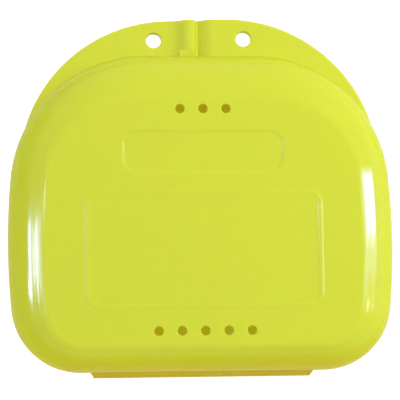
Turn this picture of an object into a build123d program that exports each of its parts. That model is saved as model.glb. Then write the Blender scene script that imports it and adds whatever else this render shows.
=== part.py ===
from build123d import *

import os
from math import atan2, cos, degrees, radians, sin, sqrt

# Hinged clamshell case for a dental retainer, moulded in one shot of polypropylene.
# Two equal domed halves meet at a flat parting plane. A living hinge joins them along the
# straight rear edge, and a lapped finger lip with two lanyard holes stands out at the front.
# Millimetres, +Z up, +Y to the front lip, origin under the middle of the closed case.

# Driving dimensions of the whole case
case_width = 81.0
case_depth = 76.2
case_height = 25.4
wall = 1.5
parting_gap = 0.2  # the closed halves rest this far apart, half of it on each side

# Outline of the two halves at the parting plane
front_wall = 29.8
corner_radius = 14.5
shoulder_radius = 28.5
side_radius = 150.0
widest_at = -9.0

# Outline of the flat crown on top of each dome
crown_half_width = 32.8
crown_rear = -31.6
crown_front = 19.1
crown_corner = 7.0
crown_shoulder = 18.0
crown_lean = 0.4  # how far the step round the crown leans inwards

# Heights of one half, measured from the parting plane
straight_height = 3.2
dome_height = 12.05
ceiling_height = 10.65
crown_step = 0.4
dome_angles = (0, 16, 31, 46, 60, 72, 81)
ceiling_angles = (0, 27, 54, 81)
foot_depth = case_height / 2 - dome_height

# Lid details
vent_radius = 0.95
vent_pitch = 4.76
front_vents_at = 17.0
rear_vents_at = -28.7
vent_depth = 4.0
name_recess = (32.6, 8.0, 2.6)  # length, width and corner radius of the small label recess
name_recess_at = 8.15
name_recess_depth = 0.35
frame_size = (49.3, 24.1, 2.8)  # outside length, width and corner radius of the bead frame
frame_at = -12.0
bead_width = 0.9
bead_height = 0.25

# Lap joint of the two rims: a tongue on the base stands in a rebate of the lid
tongue_thickness = 0.6
tongue_clearance = 0.25
tongue_rise = 1.9
tongue_chamfer = 0.3
snap_half_length = 8.0
snap_height = 0.5
snap_reach = 0.12

# Finger lip: one lip on each half, lapped along an S-shaped joint line
lip_radius = 32.2
lip_half_flat = 6.1
lip_thickness = 1.8
lip_step = 1.8
lip_ends_at = 14.6
lap_points = (-4.5, -1.7, -0.3, 0.3, 2.5)  # foot, crest, crest, valley, top of the joint line
lap_radii = (2.2, 1.0, 0.3, 0.3, 1.4)
lip_clearance = 0.3
ridge_block_start = -3.85  # the flat block that ties the ridge of the upper lip to the wall
ridge_block_depth = 1.6
lanyard_half_spacing = 9.6
lanyard_at = 33.8
lanyard_radius = 1.6
lower_lanyard_radius = 2.0  # the lower lip's holes are wider, so that a cord never meets a step

# Living hinge: a thick leaf on each half and a thin web folded between them
leaf_half_length = 23.6
leaf_end_slope = 0.7
leaf_reach = 0.75
leaf_thickness = 0.9
leaf_round = 0.3
web_radius = 0.4
web_thickness = 0.3

half_gap = parting_gap / 2
parting = case_height / 2
half_width = case_width / 2
rear_edge = -case_depth / 2
front_edge = case_depth / 2
rear_wall = rear_edge + leaf_reach + web_radius
crown_height = dome_height + crown_step
last_angle = radians(dome_angles[-1])


def mix(start, end, share):
    return start + (end - start) * share


def case_outline(share=0.0, inset=0.0):
    """D-shaped outline of tangent arcs: share 0 is the parting plane, share 1 the crown."""
    width = mix(half_width, crown_half_width, share) - inset
    rear = mix(rear_wall, crown_rear, share) + inset
    front = mix(front_wall, crown_front, share) - inset
    corner = mix(corner_radius, crown_corner, share) - inset
    shoulder = mix(shoulder_radius, crown_shoulder, share) - inset
    side = side_radius - inset
    side_x = width - side
    corner_y = rear + corner
    corner_x = side_x + sqrt((side - corner) ** 2 - (corner_y - widest_at) ** 2)
    shoulder_y = front - shoulder
    shoulder_x = side_x + sqrt((side - shoulder) ** 2 - (shoulder_y - widest_at) ** 2)
    low = degrees(atan2(corner_y - widest_at, corner_x - side_x))
    high = degrees(atan2(shoulder_y - widest_at, shoulder_x - side_x))
    CenterArc((corner_x, corner_y), corner, -90, 90 + low)
    CenterArc((side_x, widest_at), side, low, high - low)
    CenterArc((shoulder_x, shoulder_y), shoulder, high, 90 - high)
    mirror(about=Plane.YZ)
    Line((-corner_x, rear), (corner_x, rear))
    Line((-shoulder_x, front), (shoulder_x, front))


def lip_outline():
    """Front lip: a flat tip and two arcs, closed by a straight line across the case."""
    arc_y = front_edge - lip_radius
    span = degrees(atan2(lip_ends_at - arc_y, sqrt(lip_radius**2 - (lip_ends_at - arc_y) ** 2)))
    right = CenterArc((lip_half_flat, arc_y), lip_radius, span, 90 - span)
    left = CenterArc((-lip_half_flat, arc_y), lip_radius, 90, 90 - span)
    Line(right @ 1, left @ 0)
    Line(left @ 1, right @ 0)


def lap_line(height):
    """S-shaped joint line of the lip, seen from the front, at a height above the parting."""
    low = height - lip_step / 2
    high = height + lip_step / 2
    foot, crest_start, crest_end, valley, top = lap_points
    return FilletPolyline(
        (-half_width, low),
        (foot, low),
        (crest_start, high),
        (crest_end, high),
        (valley, low),
        (top, high),
        (half_width, high),
        radius=lap_radii,
    )


def leaf_outline():
    """Hinge leaf from above: a long strip with slanted ends."""
    edge = rear_wall - leaf_reach
    Polyline(
        (-leaf_half_length, rear_wall),
        (leaf_half_length, rear_wall),
        (leaf_half_length - leaf_end_slope, edge),
        (-leaf_half_length + leaf_end_slope, edge),
        close=True,
    )


# Plain half shell above the parting plane, used for both halves
with BuildPart() as half_shell:
    with BuildSketch(Plane.XY.offset(half_gap)):
        with BuildLine():
            case_outline()
        make_face()
    extrude(amount=straight_height - half_gap)
    for angle in dome_angles:
        rise = sin(radians(angle)) / sin(last_angle)
        share = (1 - cos(radians(angle))) / (1 - cos(last_angle))
        with BuildSketch(Plane.XY.offset(mix(straight_height, dome_height, rise))):
            with BuildLine():
                case_outline(share)
            make_face()
    loft(ruled=True)
    with BuildSketch(Plane.XY.offset(half_gap)):
        with BuildLine():
            case_outline(inset=wall)
        make_face()
    extrude(amount=straight_height - half_gap, mode=Mode.SUBTRACT)
    for angle in ceiling_angles:
        rise = sin(radians(angle)) / sin(last_angle)
        share = (1 - cos(radians(angle))) / (1 - cos(last_angle))
        with BuildSketch(Plane.XY.offset(mix(straight_height, ceiling_height, rise))):
            with BuildLine():
                case_outline(share, inset=mix(wall, wall / 2, share))
            make_face()
    loft(ruled=True, mode=Mode.SUBTRACT)

# Base tray: the lower half, with a flat foot as wide as the crown
with BuildPart() as base_tray:
    with Locations((0, 0, parting)):
        add(half_shell.part.mirror(Plane.XY))
    with BuildSketch(Plane.XY.offset(foot_depth)):
        with BuildLine():
            case_outline(share=1.0)
        make_face()
    extrude(amount=-foot_depth, taper=degrees(atan2(crown_lean, foot_depth)))
base_tray.part.label = "base_tray"

# Lid cover: the upper half, with a rebated rim, vents, a label recess and a bead frame
with BuildPart() as lid_cover:
    with Locations((0, 0, parting)):
        add(half_shell.part)
    with BuildSketch(Plane.XY.offset(parting + dome_height)):
        with BuildLine():
            case_outline(share=1.0)
        make_face()
    extrude(amount=crown_step, taper=degrees(atan2(crown_lean, crown_step)))
    with BuildSketch(Plane.XY.offset(parting + half_gap)):
        with BuildLine():
            case_outline(inset=wall - tongue_thickness - tongue_clearance)
        make_face()
        with Locations((0, rear_wall)):
            Rectangle(2 * (leaf_half_length - tongue_clearance), 2 * wall, mode=Mode.SUBTRACT)
    extrude(amount=tongue_rise + tongue_clearance, mode=Mode.SUBTRACT)
    with BuildSketch(Plane.XY.offset(parting + crown_height)):
        with Locations((0, frame_at)):
            RectangleRounded(*frame_size)
            RectangleRounded(
                frame_size[0] - 2 * bead_width,
                frame_size[1] - 2 * bead_width,
                frame_size[2] - bead_width,
                mode=Mode.SUBTRACT,
            )
    extrude(amount=bead_height)
    with BuildSketch(Plane.XY.offset(parting + crown_height)):
        with Locations((0, name_recess_at)):
            RectangleRounded(*name_recess)
    extrude(amount=-name_recess_depth, mode=Mode.SUBTRACT)
    with Locations(Plane.XY.offset(parting + crown_height)):
        with Locations((0, front_vents_at)):
            with GridLocations(vent_pitch, 0, 3, 1):
                Hole(vent_radius, depth=vent_depth)
        with Locations((0, rear_vents_at)):
            with GridLocations(vent_pitch, 0, 5, 1):
                Hole(vent_radius, depth=vent_depth)
lid_cover.part.label = "lid_cover"

# Base rim: the tongue that locates the lid, open along the hinge, with a snap bead in front
with BuildPart() as base_rim:
    with BuildSketch(Plane.XY.offset(parting - half_gap)):
        with BuildLine():
            case_outline(inset=wall - tongue_thickness)
        make_face()
    extrude(amount=half_gap + tongue_rise)
    chamfer(base_rim.faces().sort_by(Axis.Z)[-1].edges(), length=tongue_chamfer)
    with BuildSketch(Plane.XY.offset(parting + half_gap + snap_height)):
        with Locations((0, front_wall - wall + tongue_thickness)):
            Rectangle(2 * snap_half_length, 2 * snap_reach)
    extrude(amount=snap_height)
    with BuildSketch(Plane.XY.offset(parting - half_gap)):
        with BuildLine():
            case_outline(inset=wall)
        make_face()
        with Locations((0, rear_wall)):
            Rectangle(2 * leaf_half_length, 2 * wall)
    extrude(amount=half_gap + tongue_rise, mode=Mode.SUBTRACT)
base_rim.part.label = "base_rim"

# Lips: the joint line swept from front to back, trimmed to the lip outline outside the wall
lips = []
for side, name, hole_radius in (
    (1, "lid_flange", lanyard_radius),
    (-1, "base_flange", lower_lanyard_radius),
):
    with BuildPart() as lip:
        with BuildSketch(Plane.XZ.offset(-front_edge - wall)):
            with BuildLine():
                near = lap_line(parting + side * half_gap)
                far = lap_line(parting + side * (half_gap + lip_thickness))
                Line(near @ 0, far @ 0)
                Line(near @ 1, far @ 1)
            make_face()
        extrude(amount=case_depth / 2)
        with BuildSketch(Plane.XY):
            with BuildLine():
                lip_outline()
            make_face()
            with BuildLine():
                case_outline()
            make_face(mode=Mode.SUBTRACT)
        extrude(amount=case_height, mode=Mode.INTERSECT)
        with BuildSketch(Plane.XY.offset(parting + side * half_gap)):
            with BuildLine():
                case_outline(inset=-lip_clearance)
            make_face()
        extrude(amount=-side * lip_step, mode=Mode.SUBTRACT)
        with Locations((-lanyard_half_spacing, lanyard_at), (lanyard_half_spacing, lanyard_at)):
            Cylinder(hole_radius, 2 * case_height, mode=Mode.SUBTRACT)
        if side > 0:
            block_length = lap_points[2] - ridge_block_start
            with BuildSketch(Plane.XY.offset(parting + half_gap + lip_thickness - lip_step / 2)):
                with Locations((ridge_block_start, front_wall)):
                    Rectangle(block_length, ridge_block_depth, align=(Align.MIN, Align.MIN))
            extrude(amount=lip_step)
    lip.part.label = name
    lips.append(lip)

# Hinge leaves: one thick land on each half, rounded where the web starts
leaves = []
for side, name in ((1, "lid_hinge_leaf"), (-1, "base_hinge_leaf")):
    with BuildPart() as leaf:
        with BuildSketch(Plane.XY.offset(parting + side * half_gap)):
            with BuildLine():
                leaf_outline()
            make_face()
        extrude(amount=side * leaf_thickness)
        outer_faces = leaf.faces().sort_by(Axis.Z)
        outer_face = outer_faces[-1] if side > 0 else outer_faces[0]
        fillet(outer_face.edges().filter_by(Axis.X).sort_by(Axis.Y)[0], radius=leaf_round)
    leaf.part.label = name
    leaves.append(leaf)

# Hinge web: the thin strip folded round between the two leaves
with BuildPart() as hinge_web:
    web_half_length = leaf_half_length - leaf_end_slope
    with BuildSketch(Plane.YZ.offset(-web_half_length)):
        with Locations((rear_wall - leaf_reach, parting)):
            Circle(web_radius)
            Circle(web_radius - web_thickness, mode=Mode.SUBTRACT)
            Rectangle(web_radius, 2 * web_radius, align=(Align.MIN, Align.CENTER), mode=Mode.SUBTRACT)
    extrude(amount=2 * web_half_length)
hinge_web.part.label = "hinge_web"

os.makedirs("parts", exist_ok=True)
for piece in (base_tray, base_rim, lid_cover, hinge_web, *lips, *leaves):
    export_step(piece.part, f"parts/{piece.part.label}.step")
    print(piece.part.label, round(piece.part.volume), "mm3")
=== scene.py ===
# %% [markdown]
# # A lime yellow case for a dental retainer
#
# The real object is a single polypropylene moulding: two domed halves, a thin hinge that bends
# along the rear edge, and a lapped finger lip with two lanyard holes in front. This script dresses
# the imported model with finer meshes. It keeps the model's frame: +Z up, +Y towards the lip, and
# the origin under the middle of the closed case. Every length below is in millimetres and becomes
# metres only when a mesh or a lamp is made, because small parts are easiest to read that way.

from math import acos, atan2, cos, pi, radians, sin, sqrt, tan

import bmesh
import bpy
from mathutils import Matrix, Vector


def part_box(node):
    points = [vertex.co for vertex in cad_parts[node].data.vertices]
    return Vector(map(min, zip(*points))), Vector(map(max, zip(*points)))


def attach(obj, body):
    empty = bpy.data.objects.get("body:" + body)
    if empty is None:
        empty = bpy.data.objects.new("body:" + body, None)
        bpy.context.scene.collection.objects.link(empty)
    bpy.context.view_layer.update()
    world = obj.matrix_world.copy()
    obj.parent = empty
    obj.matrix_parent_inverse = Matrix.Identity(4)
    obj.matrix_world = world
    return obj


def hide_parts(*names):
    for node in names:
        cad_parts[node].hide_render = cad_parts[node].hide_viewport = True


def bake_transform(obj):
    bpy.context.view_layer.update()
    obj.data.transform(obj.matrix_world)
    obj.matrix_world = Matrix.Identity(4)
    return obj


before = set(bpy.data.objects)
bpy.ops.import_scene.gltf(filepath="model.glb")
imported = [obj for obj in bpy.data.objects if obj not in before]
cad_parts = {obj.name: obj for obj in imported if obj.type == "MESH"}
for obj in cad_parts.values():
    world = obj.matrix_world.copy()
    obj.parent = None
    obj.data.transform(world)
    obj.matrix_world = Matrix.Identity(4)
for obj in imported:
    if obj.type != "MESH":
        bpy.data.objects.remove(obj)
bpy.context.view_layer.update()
mm = 0.001

# %% [markdown]
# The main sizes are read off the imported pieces, so a dressed part can't drift away from the piece
# it stands for. Heights are counted from the parting plane, where the two halves meet: the lid
# counts them upwards and the base downwards, so one description serves both halves.


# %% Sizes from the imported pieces
def packed_box(name):
    """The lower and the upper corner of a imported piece."""
    return [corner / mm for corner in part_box(name)]


cover_low, cover_high = packed_box("lid_cover")
tray_low, tray_high = packed_box("base_tray")
rim_high = packed_box("base_rim")[1]
flange_high = packed_box("lid_flange")[1]
leaf_low, leaf_high = packed_box("lid_hinge_leaf")
web_low, web_high = packed_box("hinge_web")

parting = (cover_low.z + tray_high.z) / 2
half_gap = cover_low.z - parting
half_width = cover_high.x
half_height = parting - tray_low.z
rear_wall, front_wall = cover_low.y, cover_high.y
tongue_rise = rim_high.z - parting
front_edge = flange_high.y
hinge_half = leaf_high.x
print("parting plane at", round(parting, 2), "mm, half width", round(half_width, 2), "mm")

# %% [markdown]
# What the boxes can't say is written out once: the wall, the radii of the D-shaped outline, and
# the section of the dome, which is a quarter ellipse cut off just before it turns flat. That cut
# leaves the faint crease round the crown.

# %% Sizes of the moulding
wall = 1.5
corner_radius, shoulder_radius, side_radius = 14.5, 28.5, 150.0
widest_at = -9.0
crown_half_width, crown_rear, crown_front = 32.8, -31.6, 19.1
crown_corner, crown_shoulder = 7.0, 18.0
straight_height, dome_height, ceiling_height = 3.2, 12.16, 10.65
packed_bead = 0.25
crown_height = cover_high.z - parting - packed_bead
last_angle = radians(81)
print("the crown is", round(2 * crown_half_width, 1), "mm wide,", round(crown_height, 2), "mm up")

# %% [markdown]
# Seen from above, the case and its crown are two sizes of one D: round corners at the hinge, sides
# that bulge a little, and wide shoulders at the lip. A scaled copy would change the radii, so one
# function walks the arcs for any share of the way from the rim to the crown. It always returns the
# same number of points, which lets neighbouring rings be joined one to one. A few extra stations
# near the ends of the hinge let other details stop there.

# %% Outline of the case
hinge_step = 0.25
rear_stations = (0, 6, 12, 18, hinge_half - hinge_step, hinge_half, hinge_half + hinge_step)
corner_steps, side_steps, shoulder_steps = 18, 14, 26
front_shares = (0.7, 0.4, 0.2)


def mix(start, end, share):
    return start + (end - start) * share


def arc(centre, radius, start, end, steps):
    """Points along an arc, angles in radians."""
    angles = [mix(start, end, i / steps) for i in range(steps + 1)]
    return [(centre[0] + radius * cos(a), centre[1] + radius * sin(a)) for a in angles]


def outline(share=0.0, inset=0.0):
    """Points round the D of the case, anticlockwise from the rear middle; share 1 is the crown."""
    width = mix(half_width, crown_half_width, share) - inset
    rear = mix(rear_wall, crown_rear, share) + inset
    front = mix(front_wall, crown_front, share) - inset
    corner = mix(corner_radius, crown_corner, share) - inset
    shoulder = mix(shoulder_radius, crown_shoulder, share) - inset
    side = side_radius - inset
    side_x = width - side
    corner_y = rear + corner
    corner_x = side_x + sqrt((side - corner) ** 2 - (corner_y - widest_at) ** 2)
    shoulder_y = front - shoulder
    shoulder_x = side_x + sqrt((side - shoulder) ** 2 - (shoulder_y - widest_at) ** 2)
    low = atan2(corner_y - widest_at, corner_x - side_x)
    high = atan2(shoulder_y - widest_at, shoulder_x - side_x)
    right = [(x, rear) for x in rear_stations]
    right += arc((corner_x, corner_y), corner, -pi / 2, low, corner_steps)
    right += arc((side_x, widest_at), side, low, high, side_steps)[1:]
    right += arc((shoulder_x, shoulder_y), shoulder, high, pi / 2, shoulder_steps)[1:]
    right += [(shoulder_x * part, front) for part in front_shares]
    left = [(-x, y) for x, y in reversed(right[1:])]
    return right + [(0, front)] + left


print("one ring of the case has", len(outline()), "points")

# %% [markdown]
# Every shell here is a stack of closed rings with the same number of points, joined by quads, and
# flat faces with holes are filled with triangles between loops. That keeps the dome's curvature
# exact and each rounded edge as small as the real one, where a subdivided cube would swell. The
# class below collects such rings in millimetres and turns them into one Blender object.


# %% A helper that builds one piece from rings
def into_object(name, mesh):
    """A new object in the scene with the faces of a bmesh."""
    data = bpy.data.meshes.new(name)
    mesh.to_mesh(data)
    mesh.free()
    made = bpy.data.objects.new(name, data)
    bpy.context.scene.collection.objects.link(made)
    return made


class Piece:
    """Rings of points in millimetres; heights count away from the parting plane on one side."""

    def __init__(self, side):
        self.side = side
        self.mesh = bmesh.new()

    def ring(self, points):
        up = self.side
        place = [(x * mm, y * mm, (parting + up * height) * mm) for x, y, height in points]
        return [self.mesh.verts.new(point) for point in place]

    def skin(self, rings, closed=True):
        """Quads between each ring and the next one."""
        for near, far in zip(rings, rings[1:]):
            count = len(near) if closed else len(near) - 1
            for i in range(count):
                j = (i + 1) % len(near)
                self.mesh.faces.new((near[i], near[j], far[j], far[i]))

    def fill(self, *loops):
        """Triangles over a flat region with one outer loop and any number of holes."""
        edges = []
        for loop in loops:
            for a, b in zip(loop, loop[1:] + loop[:1]):
                edges.append(self.mesh.edges.get((a, b)) or self.mesh.edges.new((a, b)))
        bmesh.ops.triangle_fill(self.mesh, use_beauty=True, edges=edges, normal=(0, 0, 1))

    def build(self, name, sharp=40):
        """The finished object: doubled points merged, normals outwards, edges sharp by angle."""
        bmesh.ops.remove_doubles(self.mesh, verts=self.mesh.verts, dist=mm / 1000)
        bmesh.ops.recalc_face_normals(self.mesh, faces=self.mesh.faces)
        open_edges = sum(1 for edge in self.mesh.edges if not edge.is_manifold)
        built = into_object(name, self.mesh)
        faces = built.data.polygons
        faces.foreach_set("use_smooth", [True] * len(faces))
        built.data.set_sharp_from_angle(angle=radians(sharp))
        weighted = built.modifiers.new("even_shading", "WEIGHTED_NORMAL")
        weighted.keep_sharp = True
        print(name, len(faces), "faces,", open_edges, "open edges")
        return built


# %% [markdown]
# A half of the case is a dome on a short straight wall. Near its top the real moulding has a low
# step, hollow at the foot, that runs round the crown, and the crown's edge ends in a fine facet.
# Both are far under a millimetre, but the long window highlights break on them, so they are drawn
# in the section instead of being left to a bump map. Each round edge is a quarter circle.

# %% Rings of one half
dome_steps = 22
step_inner, step_outer, step_count = 0.0, 1.75, 9
step_curve = 2.9
edge_facet = ((0, 0.06), (0.24, 0.012), (0.32, 0.0))
rim_round = 0.2


def ring_at(share, inset, height):
    return [(x, y, height) for x, y in outline(share, inset)]


def dome_ring(angle, inside=False):
    """One ring of the dome at an angle up its quarter-ellipse section."""
    share = (1 - cos(angle)) / (1 - cos(last_angle))
    rise = sin(angle) / sin(last_angle)
    if inside:
        inset = mix(wall, wall / 2, share)
        return ring_at(share, inset, mix(straight_height, ceiling_height, rise))
    return ring_at(share, 0, mix(straight_height, dome_height, rise))


def ceiling_rings():
    """The inside, from the edge of the ceiling down to the straight wall."""
    return [dome_ring(last_angle * i / dome_steps, inside=True) for i in range(dome_steps, -1, -1)]


def quarter(radius, steps=3):
    """A round edge as pairs of (inset, rise), from the flat face round to the wall."""
    turns = [pi / 2 * i / steps for i in range(steps + 1)]
    return [(radius * (1 - sin(turn)), radius * (1 - cos(turn))) for turn in turns]


def outer_rings(height):
    """The outside: the round rim, up the dome, over the low step and a fine facet at its edge."""
    rings = [ring_at(0, inset, half_gap + rise) for inset, rise in quarter(rim_round)]
    start = 1 - step_outer / (half_width - crown_half_width)
    angle = acos(1 - start * (1 - cos(last_angle)))
    low = mix(straight_height, dome_height, sin(angle) / sin(last_angle))
    rings += [dome_ring(angle * i / dome_steps) for i in range(dome_steps + 1)]
    full_rise = height - edge_facet[0][1] - low
    for i in range(1, step_count):
        part = i / step_count
        rise = full_rise * part * (step_curve - part) / (step_curve - 1)
        rings.append(ring_at(mix(start, 1, part), step_inner * part, low + rise))
    return rings + [ring_at(1, step_inner + inset, height - drop) for inset, drop in edge_facet]


print("the outside of the lid has", len(outer_rings(crown_height)), "rings")

# %% [markdown]
# ## The lid
#
# The lid is a shell with a real inside, because the case opens. Its section is walked once, from
# the ceiling down the inner wall, round the rim and up over the dome to the crown. The rim is
# rebated inside to take the tongue of the base, except along the hinge, where both rims stay
# whole. Making the shell by giving a single surface thickness would round off the rebate, so the
# section is drawn point by point instead.

# %% Lid shell
rebate_inset, rim_bevel = 0.65, 0.1
rebate_height = tongue_rise + 0.25


def swap(ring, other, where):
    """Takes the points of another ring wherever where(x, y) is true."""
    return [b if where(a[0], a[1]) else a for a, b in zip(ring, other)]


def along_hinge(reach):
    """A test for points of the rear edge that lie within reach of the middle."""
    return lambda x, y: y < rear_wall + 2 * wall and abs(x) < reach + 0.01


def lid_rings():
    """The section of the lid as rings, from the edge of the ceiling to the edge of the crown."""
    rings = ceiling_rings()
    rings.append(ring_at(0, wall, rebate_height))
    whole_rim = along_hinge(hinge_half - hinge_step)
    rebate = ((0, rebate_height), (0, half_gap + rim_bevel), (-rim_bevel, half_gap))
    for inset, height in rebate:
        cut = ring_at(0, rebate_inset + inset, height)
        rings.append(swap(cut, ring_at(0, wall + inset, height), whole_rim))
    return rings + outer_rings(crown_height)


lid = Piece(side=1)
lid_skin = [lid.ring(points) for points in lid_rings()]
lid.skin(lid_skin)
print("lid shell:", len(lid_skin), "rings of", len(lid_skin[0]), "points")

# %% [markdown]
# Eight vents in two rows let the retainer dry. They are real holes with round edges, so the light
# that falls through them and the shade inside them are right from any side. A boolean cut would
# do it too, but it leaves a ragged edge on a dense shell. Here each bore brings its own rings, and
# the flat crown and the ceiling are filled round them later.

# %% Vents
vent_radius, vent_pitch, vent_round = 0.95, 4.76, 0.18
vent_rows = ((17.0, 3), (-28.7, 5))


def circle(x, y, radius, height, steps=28):
    return [(px, py, height) for px, py in arc((x, y), radius, 0, 2 * pi, steps)[:-1]]


def vent_loops(x, y):
    """Rings down one vent: a round edge, the bore, and a bevelled edge on the ceiling."""
    edge = quarter(vent_round)
    rings = [circle(x, y, vent_radius + flare, crown_height - drop) for flare, drop in edge]
    rings.append(circle(x, y, vent_radius, ceiling_height + vent_round))
    rings.append(circle(x, y, vent_radius + vent_round, ceiling_height))
    return rings


crown_loops, ceiling_loops = [lid_skin[-1]], [lid_skin[0]]
for row_y, count in vent_rows:
    for i in range(count):
        vent = [lid.ring(r) for r in vent_loops((i - (count - 1) / 2) * vent_pitch, row_y)]
        lid.skin(vent)
        crown_loops.append(vent[0])
        ceiling_loops.append(vent[-1])
print(len(crown_loops) - 1, "vents,", 2 * vent_radius, "mm wide")

# %% [markdown]
# A shallow recess near the lip has room for a small label. Its rim is soft, as moulds of this kind
# are polished, so the side of the recess is a smooth S from the crown down to its floor: that
# gives the pale and the dark line which are all that one sees of it.

# %% Label recess
recess_length, recess_width, recess_corner, recess_at, recess_depth = 32.6, 8.0, 2.6, 8.15, 0.28
recess_outer, recess_inner, recess_steps = 0.7, 0.4, 10


def rounded_rectangle(x, y, length, width, radius, height, steps=7):
    """A closed loop with round corners, anticlockwise from the right-hand side."""
    points = []
    reach_x, reach_y = length / 2 - radius, width / 2 - radius
    for turn, (sx, sy) in enumerate(((1, 1), (-1, 1), (-1, -1), (1, -1))):
        centre = (x + sx * reach_x, y + sy * reach_y)
        start = turn * pi / 2
        points += arc(centre, radius, start, start + pi / 2, steps)
    return [(px, py, height) for px, py in points]


recess = []
for i in range(recess_steps + 1):
    part = i / recess_steps
    inset = mix(-recess_outer, recess_inner, part)
    sunk = recess_depth * part * part * (3 - 2 * part)
    size = (recess_length - 2 * inset, recess_width - 2 * inset, recess_corner - inset)
    recess.append(lid.ring(rounded_rectangle(0, recess_at, *size, crown_height - sunk)))
lid.skin(recess)
lid.fill(recess[-1])
print("label recess", recess_length, "×", recess_width, "mm,", recess_depth, "mm deep")

# %% [markdown]
# A thin raised bead frames a larger label field, which is left bare. The bead swells and falls
# like a sine, and it is lower on its long sides than on its short ones: there it shows as a
# hairline, while the short sides catch the windows.

# %% Bead frame
frame_length, frame_width, frame_corner, frame_at = 48.8, 24.1, 2.8, -12.0
bead_outer, bead_inner, bead_steps = 0.35, 1.25, 12
bead_height, bead_low = 0.17, 0.04
bead_end, bead_fade = 4, 3

bead = []
for i in range(bead_steps + 1):
    inset = mix(-bead_outer, bead_inner, i / bead_steps)
    size = (frame_length - 2 * inset, frame_width - 2 * inset, frame_corner - inset)
    swell = sin(pi * i / bead_steps) ** 2
    loop = []
    for x, y, height in rounded_rectangle(0, frame_at, *size, crown_height):
        end = min(1, max(0, (abs(x) - frame_length / 2 + bead_end) / bead_fade))
        loop.append((x, y, height + swell * mix(bead_low, bead_height, end)))
    bead.append(lid.ring(loop))
lid.skin(bead)
lid.fill(bead[-1])
print("bead", bead_outer + bead_inner, "mm wide and up to", bead_height, "mm high")

# %% [markdown]
# Now every loop in the crown and in the ceiling is known, so both flat faces can be closed round
# them, and the lid is finished.

# %% Close the lid
lid.fill(*crown_loops, recess[0], bead[0])
lid.fill(*ceiling_loops)
lid_shell = lid.build("lid_shell")

# %% [markdown]
# ## The base
#
# The base is the same shell turned over. Its rim carries the tongue that stands inside the lid, a
# thin wall with a lead-in chamfer and a low snap bead in front. Underneath it has a flat foot as
# wide as the crown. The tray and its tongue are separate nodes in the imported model, but on the
# real moulding they run into each other, so one mesh stands for both.

# %% Base shell
tongue_inset, tongue_edge = 0.9, 0.12
lead_in = ((0.3, 0), (0.05, 0.25), (0, 0.35))
snap_reach, snap_half_length = 0.12, 8.0
snap_crest, snap_foot = (-1.1, -0.7), (-1.25, -0.55)


def in_front(x, y):
    """True along the middle of the front wall, where the snap bead is."""
    return y > 0 and abs(x) < snap_half_length


def base_rings():
    """The section of the base as rings, from the edge of the floor to the edge of the foot."""
    section = [(wall, tongue_edge - tongue_rise), (wall - tongue_edge, -tongue_rise)]
    section += [(tongue_inset + inset, drop - tongue_rise) for inset, drop in lead_in]
    section += [(tongue_inset, h) for h in (snap_foot[0], *snap_crest, snap_foot[1], half_gap)]
    no_tongue = along_hinge(hinge_half)
    rings = ceiling_rings()
    for inset, height in section:
        full = ring_at(0, inset, height)
        if height in snap_crest:
            full = swap(full, ring_at(0, inset - snap_reach, height), in_front)
        rings.append(swap(full, ring_at(0, inset, half_gap), no_tongue))
    return rings + outer_rings(half_height)


base = Piece(side=-1)
base_skin = [base.ring(points) for points in base_rings()]
base.skin(base_skin)
base.fill(base_skin[0])
base.fill(base_skin[-1])
base_shell = base.build("base_shell")

# %% [markdown]
# ## The lapped lip
#
# The two lips lie on each other and share an S-shaped joint line: on the left the joint runs low,
# climbs a ramp to a crest just left of the middle, falls a little, drops sharply and climbs again
# to the right. The step keeps the halves from sliding sideways and gives a finger something to
# push. The S is a short row of corners, each rounded with its own radius, which is how a mould
# maker would give it, and it is easier to change than a curve drawn freely.

# %% Joint line
lip_half_flat, lip_thickness, lip_step = 6.1, 1.8, 1.8
lap_points = (-5.1, -2.4, -0.95, -0.5, 2.2)
lap_radii = (3.6, 2.6, 0.15, 0.5, 3.2)
crest_fall = 0.3


def lap_line(steps=6):
    """The S of the joint as (x, height) points from left to right, its corners rounded."""
    low, high = -lip_step / 2, lip_step / 2
    heights = (low, high, high - crest_fall, low, high)
    corners = [Vector((x, h)) for x, h in zip(lap_points, heights)]
    corners = [Vector((-lip_half_flat, low)), *corners, Vector((lip_half_flat, high))]
    path = [corners[0]]
    for before, corner, after, radius in zip(corners, corners[1:], corners[2:], lap_radii):
        back = (before - corner).normalized()
        on = (after - corner).normalized()
        half = back.angle(on) / 2
        centre = corner + (back + on).normalized() * radius / sin(half)
        start = corner + back * radius / tan(half) - centre
        end = corner + on * radius / tan(half) - centre
        for i in range(steps + 1):
            path.append(centre + start.lerp(end, i / steps).normalized() * radius)
    return path + [corners[-1]]


print("joint line has", len(lap_line()), "points")

# %% [markdown]
# Seen from above, the lip is a flat nose between two wide arcs that run out on the walls of the
# case. The mesh needs a partner on the wall for every point of the free edge, so the wall is cut
# into as many equal stretches as the arc has, and both are kept together as stations.

# %% Stations along the lip
lip_radius, lip_ends_at = 32.2, 14.6
sunk_in_wall = 0.15


def along(points, count):
    """The same polyline cut into count equal stretches."""
    lengths = [0.0]
    for a, b in zip(points, points[1:]):
        lengths.append(lengths[-1] + (Vector(b) - Vector(a)).length)
    found, k = [], 0
    for i in range(count + 1):
        goal = lengths[-1] * i / count
        while k < len(points) - 2 and lengths[k + 1] < goal:
            k += 1
        share = (goal - lengths[k]) / (lengths[k + 1] - lengths[k])
        found.append(Vector(points[k]).lerp(Vector(points[k + 1]), share))
    return found


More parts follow.
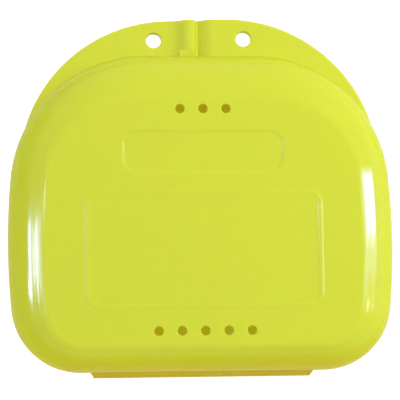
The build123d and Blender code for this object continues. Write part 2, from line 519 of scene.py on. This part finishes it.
def lip_stations(arc_steps=40):
    """Stations from the right end of the lip to the left: edge, outward way, wall point, height."""
    centre_y = front_edge - lip_radius
    start = atan2(lip_ends_at - centre_y, sqrt(lip_radius**2 - (lip_ends_at - centre_y) ** 2))
    case = [p for p in outline(0, sunk_in_wall) if p[0] > lip_half_flat and p[1] > lip_ends_at]
    case = along([*case, (lip_half_flat, front_wall - sunk_in_wall)], arc_steps)
    stations = []
    for i in range(arc_steps):
        turn = mix(start, pi / 2, i / arc_steps)
        way = Vector((cos(turn), sin(turn)))
        edge = Vector((lip_half_flat, centre_y)) + way * lip_radius
        stations.append((edge, way, case[i], lip_step / 2))
    flat = [
        (Vector((p.x, front_edge)), Vector((0, 1)), Vector((p.x, front_wall - sunk_in_wall)), p.y)
        for p in reversed(lap_line())
    ]
    mirror = Vector((-1, 1))
    wing = [(e * mirror, w * mirror, c * mirror, -lip_step / 2) for e, w, c, h in stations]
    return stations, flat, wing[::-1]


print("the lip has", sum(len(stretch) for stretch in lip_stations()), "stations")

# %% [markdown]
# A lip is the joint line drawn out towards the wall. Its mesh keeps straight columns of quads
# across the S, and fills the two flat wings, with their lanyard holes, as polygons. The free edge
# is round above and only broken below, where the lips meet, so the joint stays a fine line. The
# lower lip's holes are wider than the upper's, and a cord never meets a step.

# %% How a lip is made
lanyard_x, lanyard_y, lanyard_radius, lower_lanyard_radius = 9.6, 33.8, 1.6, 2.0
edge_round, foot_round, hole_round = 0.4, 0.12, 0.4
tip_length = 1.2


def edge_points(stations, side, inset, up):
    """A ring along the free edge; its inset dies out where the lip runs into the wall."""
    points = []
    for edge, way, wall_point, height in stations:
        shrink = min(1, (edge - wall_point).length / tip_length)
        place = edge - way * inset * shrink
        points.append((place.x, place.y, side * height + half_gap + up))
    return points


def lanyard_bore(x, radius, foot):
    """The rings of a hole with round edges, upwards through a lip that stands at a height."""
    edge = quarter(hole_round, 2)
    top = foot + lip_thickness
    heights = [(wider, foot + rise) for wider, rise in edge]
    heights += [(wider, top - rise) for wider, rise in reversed(edge)]
    return [circle(x, lanyard_y, radius + wider, height) for wider, height in heights]


def make_lip(side, hole_radius):
    """One lip: heights count from the parting plane, so the joint line turns over for the base."""
    lip = Piece(side=side)
    right, flat, left = lip_stations()
    stations = right + flat + left
    first, last = len(right), len(right) + len(flat) - 1

    section = quarter(foot_round, 2)
    section += [(inset, lip_thickness - rise) for inset, rise in reversed(quarter(edge_round, 5))]
    edges = [lip.ring(edge_points(stations, side, inset, up)) for inset, up in section]
    lip.skin(edges, closed=False)
    walls = []
    for up in (0, lip_thickness):
        walls.append(lip.ring([(w.x, w.y, side * h + half_gap + up) for e, d, w, h in stations]))
    lip.skin(walls, closed=False)

    faces = ((edges[0], walls[0]), (edges[-1], walls[1]))
    for edge, inner in faces:
        lip.skin([edge[first : last + 1], inner[first : last + 1]], closed=False)
    for sx, part in ((1, slice(0, first + 1)), (-1, slice(last, len(stations)))):
        foot = side * sx * lip_step / 2 + half_gap
        bore = [lip.ring(points) for points in lanyard_bore(sx * lanyard_x, hole_radius, foot)]
        lip.skin(bore)
        for (edge, inner), hole in zip(faces, (bore[0], bore[-1])):
            lip.fill(edge[part] + inner[part][::-1], hole)
    for end in (0, -1):
        corner = [ring[end] for ring in edges] + [walls[1][end], walls[0][end]]
        lip.mesh.faces.new(corner)
    return lip


print("lanyard holes", 2 * lanyard_radius, "and", 2 * lower_lanyard_radius, "mm wide")

# %% [markdown]
# On the upper lip, a small flat block ties the ridge of the joint line to the wall of the lid. It
# is a separate closed skin that dips into the lip, which is enough for one moulding: the line
# where they meet stays hidden in the corner.

# %% Lips and the block at the ridge
lid_lip_shape = make_lip(1, lanyard_radius)
block_low = half_gap + lip_thickness - lip_step / 2
block_top = block_low + lip_step - 0.1
block_start, block_end, block_depth, block_round = -4.2, lap_points[2] - 0.1, 1.6, 0.14
block_sunk, block_corner, block_bevel = 0.3, 0.2, 0.04
block_section = (
    (0, block_low - block_sunk),
    (0, block_top - block_round),
    (block_bevel, block_top - block_bevel),
    (block_round, block_top),
)
block = []
for inset, height in block_section:
    size = (block_end - block_start - 2 * inset, 2 * block_depth - 2 * inset, block_corner)
    middle = (block_start + block_end) / 2
    block.append(lid_lip_shape.ring(rounded_rectangle(middle, front_wall, *size, height)))
lid_lip_shape.skin(block)
lid_lip_shape.fill(block[-1])
lid_lip_shape.fill(block[0])
lid_lip = lid_lip_shape.build("lid_lip")
base_lip = make_lip(-1, lower_lanyard_radius).build("base_lip")

# %% [markdown]
# ## The hinge
#
# A living hinge is a thin web between two thicker lands. The lands ride rigidly on their halves,
# and the web is a half ring from one land to the other. All three are a section drawn out along
# the hinge, with slanted ends.

# %% Hinge lands and fold
land_depth, land_height = rear_wall - leaf_low.y, leaf_high.z - leaf_low.z
land_slope = hinge_half - web_high.x
land_round = 0.3
land_edge = rear_wall - land_depth
web_radius, web_thickness = (web_high.z - web_low.z) / 2, 0.3


def half_length(y):
    """The strip's ends slant inwards from the wall to the outer edge."""
    reach = min(1, (rear_wall - y) / land_depth)
    return hinge_half - land_slope * max(0, reach)


def strip(side, name, section):
    """A closed (y, height) section drawn out along the hinge, with slanted ends."""
    piece = Piece(side=side)
    spans = (-1, -0.5, 0, 0.5, 1)
    rings = [piece.ring([(span * half_length(y), y, h) for y, h in section]) for span in spans]
    piece.skin(rings)
    for ring in (rings[0], rings[-1]):
        piece.mesh.faces.new(ring)
    return piece.build(name)


top = half_gap + land_height
land_section = [(rear_wall + sunk_in_wall, half_gap), (land_edge, half_gap)]
land_section += arc((land_edge + land_round, top - land_round), land_round, pi, pi / 2, 6)
land_section.append((rear_wall + sunk_in_wall, top))
lid_hinge_land = strip(1, "lid_hinge_land", land_section)
base_hinge_land = strip(-1, "base_hinge_land", land_section)

web_section = arc((land_edge, 0), web_radius, pi / 2, 3 * pi / 2, 16)
web_section += arc((land_edge, 0), web_radius - web_thickness, 3 * pi / 2, pi / 2, 10)
hinge_fold = strip(1, "hinge_fold", web_section)

# %% [markdown]
# ## Materials
#
# What makes a plastic look moulded is small: a slow unevenness of the polished mould, a very fine
# grain, and hair scratches from use. Those are node groups, built once and used by both plastics
# with their own amounts. Three helpers keep the node code short. Textures read object coordinates
# in millimetres, so a pattern has its real size and moves with its piece.


# %% Helpers for nodes
def new_group(name, inputs, outputs):
    """An empty shader node group with named float sockets."""
    group = bpy.data.node_groups.new(name, "ShaderNodeTree")
    for label, value in inputs:
        socket = group.interface.new_socket(label, in_out="INPUT", socket_type="NodeSocketFloat")
        socket.default_value = value
    for label in outputs:
        group.interface.new_socket(label, in_out="OUTPUT", socket_type="NodeSocketFloat")
    return group, group.nodes.new("NodeGroupInput"), group.nodes.new("NodeGroupOutput")


def add_node(tree, kind, **settings):
    """A node with its attributes set; socket values go in as inputs={name: value}."""
    values = settings.pop("inputs", {})
    node = tree.nodes.new(kind)
    for key, value in settings.items():
        setattr(node, key, value)
    for socket, value in values.items():
        node.inputs[socket].default_value = value
    return node


def in_millimetres(tree):
    """Object coordinates scaled from metres to millimetres."""
    place = tree.nodes.new("ShaderNodeTexCoord")
    scaled = add_node(tree, "ShaderNodeVectorMath", operation="SCALE", inputs={"Scale": 1 / mm})
    tree.links.new(place.outputs["Object"], scaled.inputs[0])
    return scaled.outputs[0]


print("object coordinates are scaled by", round(1 / mm))

# %% [markdown]
# A polished mould isn't quite flat: long waves bend a reflected window a little, a fine grain
# breaks its edge, and some patches are duller than others. Displacing the mesh would cost far more
# faces than these few hundredths of a millimetre are worth, so they are a height for a bump and a
# roughness.


# %% Group: the moulded surface
def moulded_surface():
    """Height and roughness of a polished mould: slow waves, fine grain and cloudy patches."""
    amounts = [("Wave", 0.5), ("Grain", 0.0015), ("Gloss Low", 0.1), ("Gloss High", 0.2)]
    group, inside, outside = new_group("moulded_surface", amounts, ["Height", "Roughness"])
    link = group.links.new
    place = in_millimetres(group)
    wave = add_node(group, "ShaderNodeTexNoise", inputs={"Scale": 0.045, "Detail": 1.0})
    grain = add_node(group, "ShaderNodeTexNoise", inputs={"Scale": 2.2, "Detail": 3.0})
    cloud = add_node(group, "ShaderNodeTexNoise", inputs={"Scale": 0.16, "Detail": 4.0})
    for texture in (wave, grain, cloud):
        link(place, texture.inputs["Vector"])
    slow = add_node(group, "ShaderNodeMath", operation="MULTIPLY")
    link(wave.outputs[0], slow.inputs[0])
    link(inside.outputs["Wave"], slow.inputs[1])
    total = add_node(group, "ShaderNodeMath", operation="MULTIPLY_ADD")
    link(grain.outputs[0], total.inputs[0])
    link(inside.outputs["Grain"], total.inputs[1])
    link(slow.outputs[0], total.inputs[2])
    link(total.outputs[0], outside.inputs["Height"])
    gloss = add_node(group, "ShaderNodeMapRange", inputs={"From Min": 0.3, "From Max": 0.7})
    link(cloud.outputs[0], gloss.inputs["Value"])
    link(inside.outputs["Gloss Low"], gloss.inputs["To Min"])
    link(inside.outputs["Gloss High"], gloss.inputs["To Max"])
    link(gloss.outputs[0], outside.inputs["Roughness"])
    return group


surface_group = moulded_surface()
print("node group", surface_group.name, "with", len(surface_group.nodes), "nodes")

# %% [markdown]
# A case that lives in a bag gets hair scratches. Each set is a noise stretched thin along one
# direction and cut off near its peaks. Three directions are laid over each other, and a broad
# noise keeps them to patches, because evenly scratched plastic looks like a filter.

# %% Group: hair scratches
scratch_turns = (0.35, 1.5, 2.45)
scratch_scale = (0.12, 5.0, 0.12)


def hair_scratches():
    """A mask of fine scratches: stretched noise in three directions, broken up by patches."""
    group, inside, outside = new_group("hair_scratches", [("Amount", 0.3)], ["Mask"])
    link = group.links.new
    place = in_millimetres(group)
    patch = add_node(group, "ShaderNodeTexNoise", inputs={"Scale": 0.09, "Detail": 2.0})
    link(place, patch.inputs["Vector"])
    where = add_node(group, "ShaderNodeMapRange", inputs={"From Min": 0.5, "From Max": 0.68})
    link(patch.outputs[0], where.inputs["Value"])
    total = None
    for turn in scratch_turns:
        turned = add_node(group, "ShaderNodeMapping")
        turned.inputs["Rotation"].default_value = (0.0, 0.0, turn)
        turned.inputs["Scale"].default_value = scratch_scale
        hair = add_node(group, "ShaderNodeTexNoise", inputs={"Scale": 1.0, "Detail": 2.0})
        thin = add_node(group, "ShaderNodeMapRange", inputs={"From Min": 0.7, "From Max": 0.74})
        link(place, turned.inputs["Vector"])
        link(turned.outputs[0], hair.inputs["Vector"])
        link(hair.outputs[0], thin.inputs["Value"])
        if total is None:
            total = thin
            continue
        both = add_node(group, "ShaderNodeMath", operation="MAXIMUM")
        link(total.outputs[0], both.inputs[0])
        link(thin.outputs[0], both.inputs[1])
        total = both
    kept = add_node(group, "ShaderNodeMath", operation="MULTIPLY")
    link(total.outputs[0], kept.inputs[0])
    link(where.outputs[0], kept.inputs[1])
    scaled = add_node(group, "ShaderNodeMath", operation="MULTIPLY")
    link(kept.outputs[0], scaled.inputs[0])
    link(inside.outputs["Amount"], scaled.inputs[1])
    link(scaled.outputs[0], outside.inputs["Mask"])
    return group


scratch_group = hair_scratches()
print("node group", scratch_group.name, "with", len(scratch_group.nodes), "nodes")

# %% [markdown]
# Pigmented polypropylene is glossy, a little waxy, and lets some light in, so its shadows turn
# warmer than its lit faces. A little subsurface scattering in the Principled shader covers that.
# The wall also lets tinted light through to the inside, which a solid shader would leave black:
# for shadow rays alone, the material is a tinted transparent one.

# %% How a plastic is made
let_through = (0.95, 0.83, 0.85)
scratch_depth = 0.01


def plastic(name, colour, scuffed, gloss, wave, scratches):
    """Pigmented polypropylene with a moulded surface, worn by a given amount."""
    material = bpy.data.materials.new(name)
    material.use_nodes = True
    tree = material.node_tree
    link = tree.links.new
    shader = tree.nodes["Principled BSDF"]
    shader.inputs["IOR"].default_value = 1.49
    shader.inputs["Subsurface Weight"].default_value = 0.35
    shader.inputs["Subsurface Radius"].default_value = (1.0, 0.62, 0.12)
    shader.inputs["Subsurface Scale"].default_value = 1.2 * mm

    surface = add_node(tree, "ShaderNodeGroup", node_tree=surface_group)
    surface.inputs["Wave"].default_value = wave
    surface.inputs["Gloss Low"].default_value = gloss[0]
    surface.inputs["Gloss High"].default_value = gloss[1]
    wear = add_node(tree, "ShaderNodeGroup", node_tree=scratch_group)
    wear.inputs["Amount"].default_value = scratches

    height = add_node(tree, "ShaderNodeMath", operation="MULTIPLY_ADD")
    height.inputs[1].default_value = -scratch_depth
    link(wear.outputs["Mask"], height.inputs[0])
    link(surface.outputs["Height"], height.inputs[2])
    bump = add_node(tree, "ShaderNodeBump", inputs={"Strength": 1.0, "Distance": mm})
    link(height.outputs[0], bump.inputs["Height"])
    link(bump.outputs[0], shader.inputs["Normal"])

    rough = add_node(tree, "ShaderNodeMath", operation="ADD")
    link(surface.outputs["Roughness"], rough.inputs[0])
    link(wear.outputs["Mask"], rough.inputs[1])
    link(rough.outputs[0], shader.inputs["Roughness"])

    colours = add_node(tree, "ShaderNodeMix", data_type="RGBA")
    colours.inputs["A"].default_value = (*colour, 1)
    colours.inputs["B"].default_value = (*scuffed, 1)
    link(wear.outputs["Mask"], colours.inputs["Factor"])
    link(colours.outputs["Result"], shader.inputs["Base Color"])

    path = tree.nodes.new("ShaderNodeLightPath")
    through = add_node(tree, "ShaderNodeBsdfTransparent", inputs={"Color": (*let_through, 1)})
    either = tree.nodes.new("ShaderNodeMixShader")
    link(path.outputs["Is Shadow Ray"], either.inputs[0])
    link(shader.outputs[0], either.inputs[1])
    link(through.outputs[0], either.inputs[2])
    link(either.outputs[0], tree.nodes["Material Output"].inputs["Surface"])
    return material


print("each plastic lets through", let_through, "of red, green and blue light in its shadow")

# %% [markdown]
# Both plastics are the same resin. The lands and the fold of the hinge are thin and dulled by
# bending, so they are rougher. Their darker, warmer colour is painted shade, for the hinge lies in
# the shadow of the rear wall.

# %% The two plastics
lime = (0.61, 0.658, 0.015)
# darker and warmer than the lime: painted shade of the hinge in the rear wall's shadow
hinge_lime_painted_shade = (0.53, 0.48, 0.013)
lime_scuffed = (0.66, 0.70, 0.12)
plastics = {
    "case_plastic": plastic("case_plastic", lime, lime_scuffed, (0.08, 0.12), 0.12, 0.15),
    "hinge_plastic": plastic("hinge_plastic", hinge_lime_painted_shade, lime_scuffed, (0.25, 0.35), 0.1, 0.4),
}
print("plastics", sorted(plastics))

# %% [markdown]
# ## Fixing the pieces to the model
#
# Each dressed piece rides on the body that moves it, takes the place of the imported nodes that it
# stands for, and names its material slot as the record does. The mesh of the base shell stands for
# two nodes. A list of tuples says all of it in one place, so nothing is left behind when the lid
# turns.

# %% Dress the pieces and fix them to their bodies
dressed = (
    (lid_shell, "lid", "case_plastic", ("lid_cover",)),
    (lid_lip, "lid", "case_plastic", ("lid_flange",)),
    (lid_hinge_land, "lid", "hinge_plastic", ("lid_hinge_leaf",)),
    (base_shell, "base", "case_plastic", ("base_tray", "base_rim")),
    (base_lip, "base", "case_plastic", ("base_flange",)),
    (base_hinge_land, "base", "hinge_plastic", ("base_hinge_leaf",)),
)
for piece, body, slot, nodes in dressed:
    piece.data.materials.append(plastics[slot])
    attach(piece, body)
    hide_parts(*nodes)
    print(piece.name, "rides on", body, "and stands for", ", ".join(nodes))

# %% [markdown]
# The fold is the one piece that belongs to both bodies, so it is fixed to neither: its place is
# baked into its mesh, and the imported web is hidden. The imported nodes get the lime plastic too,
# so that none of them is left plain if it ever shows.

# %% The fold and the imported nodes
hinge_fold.data.materials.append(plastics["hinge_plastic"])
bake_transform(hinge_fold)
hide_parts("hinge_web")
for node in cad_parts.values():
    node.data.materials.clear()
    node.data.materials.append(plastics["case_plastic"])
print("the fold bends over", round(2 * web_radius, 2), "mm of height")

# %% [markdown]
# ## Stage, light and camera
#
# The photograph is taken from almost straight above, slightly from the rear left, against white.
# The floor is pale paint that keeps the case's shadow. A little glow lifts it to white, but only
# for rays that end in the eye, straight or by way of gloss, so it puts no more light on the case.

# %% Floor
floor_radius, floor_drop = 3000, 0.05


def seen_by_eye(tree):
    """1 for camera rays and for the mirror and glass rays that follow them, else 0."""
    path = tree.nodes.new("ShaderNodeLightPath")
    total = path.outputs["Is Camera Ray"]
    for kind in ("Is Glossy Ray", "Is Transmission Ray"):
        either = add_node(tree, "ShaderNodeMath", operation="MAXIMUM")
        tree.links.new(total, either.inputs[0])
        tree.links.new(path.outputs[kind], either.inputs[1])
        total = either.outputs[0]
    return total


def empty_material(name, wearer):
    """The node tree of a new material on an object, with nothing in it but the output."""
    material = bpy.data.materials.new(name)
    material.use_nodes = True
    material.node_tree.nodes.remove(material.node_tree.nodes["Principled BSDF"])
    wearer.data.materials.append(material)
    return material.node_tree


def white_floor(paint_colour, lift):
    """A pale floor that keeps the shadow; a small lift brings it to white where it is seen."""
    mesh = bmesh.new()
    bmesh.ops.create_circle(mesh, cap_ends=True, radius=floor_radius * mm, segments=96)
    floor = into_object("floor", mesh)
    floor.location.z = -floor_drop * mm
    tree = empty_material("floor_paint", floor)
    link = tree.links.new
    paint = add_node(tree, "ShaderNodeBsdfDiffuse", inputs={"Color": (*paint_colour, 1)})
    glow = tree.nodes.new("ShaderNodeEmission")
    strength = add_node(tree, "ShaderNodeMath", operation="MULTIPLY", inputs={1: lift})
    both = tree.nodes.new("ShaderNodeAddShader")
    link(seen_by_eye(tree), strength.inputs[0])
    link(strength.outputs[0], glow.inputs["Strength"])
    link(paint.outputs[0], both.inputs[0])
    link(glow.outputs[0], both.inputs[1])
    link(both.outputs[0], tree.nodes["Material Output"].inputs["Surface"])
    return floor


floor = white_floor(paint_colour=(0.80, 0.78, 0.74), lift=0.6)
print("floor", 2 * floor_radius, "mm wide,", floor_drop, "mm under the foot")

# %% [markdown]
# The world is white to the eye as well. As light it is a plain soft grey, a little weaker and
# warmer behind the case than in front, as in a room whose windows are on the lip's side. One
# gradient along Y does that, where a picture of a room would bring reflections of its own.

# %% World
rear_end, front_end = -0.8, 0.5


def studio_world(rear_tone, front_tone):
    """White where it is seen; as light it runs from a rear tone to a front tone."""
    world = bpy.data.worlds.new("studio")
    bpy.context.scene.world = world
    world.use_nodes = True
    tree = world.node_tree
    link = tree.links.new
    tree.nodes.clear()
    place = tree.nodes.new("ShaderNodeTexCoord")
    split = tree.nodes.new("ShaderNodeSeparateXYZ")
    span = {"From Min": rear_end, "From Max": front_end}
    share = add_node(tree, "ShaderNodeMapRange", inputs=span)
    tones = add_node(tree, "ShaderNodeMix", data_type="RGBA")
    tones.inputs["A"].default_value = (*rear_tone, 1)
    tones.inputs["B"].default_value = (*front_tone, 1)
    seen = add_node(tree, "ShaderNodeMix", data_type="RGBA")
    seen.inputs["B"].default_value = (1, 1, 1, 1)
    back = tree.nodes.new("ShaderNodeBackground")
    out = tree.nodes.new("ShaderNodeOutputWorld")
    link(place.outputs["Generated"], split.inputs[0])
    link(split.outputs["Y"], share.inputs["Value"])
    link(share.outputs[0], tones.inputs["Factor"])
    link(tones.outputs["Result"], seen.inputs["A"])
    link(seen_by_eye(tree), seen.inputs["Factor"])
    link(seen.outputs["Result"], back.inputs["Color"])
    link(back.outputs[0], out.inputs["Surface"])
    return world


room = studio_world(rear_tone=(0.46, 0.46, 0.36), front_tone=(0.585, 0.58, 0.585))
print("world", room.name)

# %% [markdown]
# A glossy case mirrors what it stands on. On a white floor its sides would turn pale, and here they
# stay deep in colour down to their lower edge. A tinted mat under the case does that, with a warmer
# one behind it, and two upright cards carry the tones on to the left and to the rear, clearing
# towards their tops so that no hard edge shows in the dome. Only the case sees these sheets: the
# camera looks through them, and they cast no shadow.


# %% How a hidden sheet is made
def hidden_sheet(name, size, place, facing, colour, fade=0.0):
    """A matt sheet that shows its front only, in the case's surface only; fade clears its top."""
    mesh = bmesh.new()
    bmesh.ops.create_grid(mesh, x_segments=1, y_segments=1, size=0.5)
    sheet = into_object(name, mesh)
    sheet.scale = (size[0] * mm, size[1] * mm, 1)
    sheet.location = Vector(place) * mm
    sheet.rotation_euler = Vector(facing).to_track_quat("Z", "Y").to_euler()
    sheet.visible_camera = False
    sheet.visible_shadow = False
    tree = empty_material(name, sheet)
    link = tree.links.new
    cloth = add_node(tree, "ShaderNodeBsdfDiffuse", inputs={"Color": (*colour, 1)})
    nothing = tree.nodes.new("ShaderNodeBsdfTransparent")
    side = tree.nodes.new("ShaderNodeNewGeometry")
    sheet_place = tree.nodes.new("ShaderNodeTexCoord")
    split = tree.nodes.new("ShaderNodeSeparateXYZ")
    clear = add_node(tree, "ShaderNodeMath", operation="MULTIPLY_ADD", inputs={1: fade})
    either = tree.nodes.new("ShaderNodeMixShader")
    link(sheet_place.outputs["Generated"], split.inputs[0])
    link(split.outputs["Y"], clear.inputs[0])
    link(side.outputs["Backfacing"], clear.inputs[2])
    link(clear.outputs[0], either.inputs[0])
    link(cloth.outputs[0], either.inputs[1])
    link(nothing.outputs[0], either.inputs[2])
    link(either.outputs[0], tree.nodes["Material Output"].inputs["Surface"])
    print(name, size[0], "×", size[1], "mm at", place)
    return sheet


# %% [markdown]
# The sheets and the floor are stage: they belong to the picture, not to the object. The warm pair
# stands behind the hinge and the other pair under and beside the case.

# %% Mats and cards
mat_tone, rear_tone = (0.74, 0.75, 0.40), (0.85, 0.70, 0.26)
mat = hidden_sheet("mat", (600, 600), (0, 0, -0.02), (0, 0, 1), mat_tone)
rear_mat = hidden_sheet("rear_mat", (300, 200), (0, -139, -0.01), (0, 0, 1), rear_tone)
left_card = hidden_sheet("left_card", (600, 200), (-300, 0, 100), (1, 0, 0), mat_tone, fade=1.0)
rear_card = hidden_sheet("rear_card", (600, 200), (0, -320, 100), (0, 1, 0), rear_tone, fade=1.0)

# %% [markdown]
# Two windows stand left and right of the case. Their mirror images are the long white highlights
# on the sides of the dome. A pane is a soft box given by the range of directions that it fills,
# seen from the place where its highlight lies: azimuth says how far along the side the highlight
# runs, and elevation how far up the dome. That is easier to read off a photograph than a lamp's
# place and size, and the brightness doesn't change when a pane is moved.

# %% How a window pane is made
window_distance = 600
daylight = (0.50, 0.56, 1.0)


def soft_box(name, place, aim, size, radiance, colour):
    """A rectangular lamp at a place, turned to a point, as bright as its radiance says."""
    light = bpy.data.lights.new(name, "AREA")
    light.shape = "RECTANGLE"
    light.size, light.size_y = size[0] * mm, size[1] * mm
    light.energy = radiance * pi * light.size * light.size_y
    light.color = colour
    lamp = bpy.data.objects.new(name, light)
    lamp.location = Vector(place) * mm
    lamp.rotation_euler = (Vector(aim) - Vector(place)).to_track_quat("-Z", "Y").to_euler()
    bpy.context.scene.collection.objects.link(lamp)
    print(name, "at", [round(part) for part in place], "mm,", round(light.energy, 2), "W")
    return lamp


def window(name, lit, azimuths, elevations, radiance, colour=daylight):
    """A soft box that fills a range of directions, in degrees, as seen from the lit point."""
    azimuth, elevation = [radians(sum(pair) / 2) for pair in (azimuths, elevations)]
    across = window_distance * cos(elevation)
    way = Vector((cos(azimuth), sin(azimuth), tan(elevation))) * across
    wide = across * radians(azimuths[1] - azimuths[0])
    tall = window_distance * radians(elevations[1] - elevations[0])
    soft_box(name, Vector(lit) + way, lit, (wide, tall), radiance, colour)


# %% [markdown]
# The left window has two bright panes with a bar between them, which splits the highlight into
# two lines. Weaker panes above them light the edge of the crown, and a faint glow lies round them
# all.

# %% Left window
left_lit = (-35.2, -14, parting + 11.3)
left_edge_lit = (-33, -4, parting + 12)
window("left_window", left_lit, (171.5, 180), (27.3, 36.5), 26)
window("left_window_pane", left_lit, (171.5, 180), (39.5, 45.5), 20)
window("left_window_corner", left_lit, (180, 182.5), (23, 33), 34)
window("left_window_upper", left_lit, (168, 180), (47, 54), 6)
window("left_window_top", left_edge_lit, (158, 164), (61.5, 74), 10)
window("left_window_glow", left_lit, (166, 183), (28, 66), 1.6)

# %% [markdown]
# The right window's highlight is solid white in front and fades towards the hinge, so it is one
# bright pane in a wider glow. The small warm lamp makes the spot at the rear end of the highlight.

# %% Right window
right_lit = (34.6, -3, parting + 11.4)
rear_spot_lit = (35.5, -25, parting + 11)
warm_white = (1.0, 0.9, 0.7)
window("right_window", right_lit, (5.3, 14.2), (24, 40.5), 26)
window("right_window_upper", right_lit, (9, 15), (46, 57), 4)
window("right_window_glow", right_lit, (-2, 18), (21, 52), 4.6)
window("right_low_glow", right_lit, (-8, 24), (3, 20), 0.5)
window("right_lamp", rear_spot_lit, (-2.4, -1.6), (26.6, 30), 56, warm_white)

# %% [markdown]
# The windows are small, so the even light on the case comes from the world and a large key lamp in
# front on the right, which makes the right half a little brighter than the left. A weak warm
# bounce from behind warms the hinge. Neither shows in the gloss, or they would add highlights that
# the case doesn't have.

# %% Key lamp and bounce
key = soft_box("key", (190, 130, 265), (0, 0, 25), (200, 200), 3.8, (1, 0.95, 0.97))
bounce = soft_box("rear_bounce", (0, -300, 45), (0, -38, 18), (300, 60), 2.0, (1, 0.75, 0.45))
for lamp in (key, bounce):
    lamp.visible_glossy = False

# %% [markdown]
# The camera's place comes from the photograph itself: the vents, creases and outline fix where it
# stood, 318 mm above the parting plane. Its frame axes are built directly, so the small roll of
# the picture is one named angle.

# %% Camera
camera_at = Vector((-22.723, -36.171, parting + 318.308))
camera_aim = Vector((0.036, -0.614, parting))
camera_roll = 0.0130
sensor_width, picture_width, focal_pixels = 36.0, 400, 1505.48

back = (camera_at - camera_aim).normalized()
right = Vector((0, 1, 0)).cross(back).normalized()
up = back.cross(right)
picture_right = right * cos(camera_roll) - up * sin(camera_roll)
picture_up = right * sin(camera_roll) + up * cos(camera_roll)
camera_data = bpy.data.cameras.new("camera")
camera_data.sensor_width = sensor_width
camera_data.lens = focal_pixels * sensor_width / picture_width
camera_data.clip_start = 0.01
camera = bpy.data.objects.new("camera", camera_data)
axes = Matrix((picture_right, picture_up, back)).transposed()
camera.matrix_world = Matrix.Translation(camera_at * mm) @ axes.to_4x4()
bpy.context.scene.collection.objects.link(camera)
bpy.context.scene.camera = camera
print("lens", round(camera_data.lens, 1), "mm")

bpy.context.scene.view_settings.view_transform = "Standard"
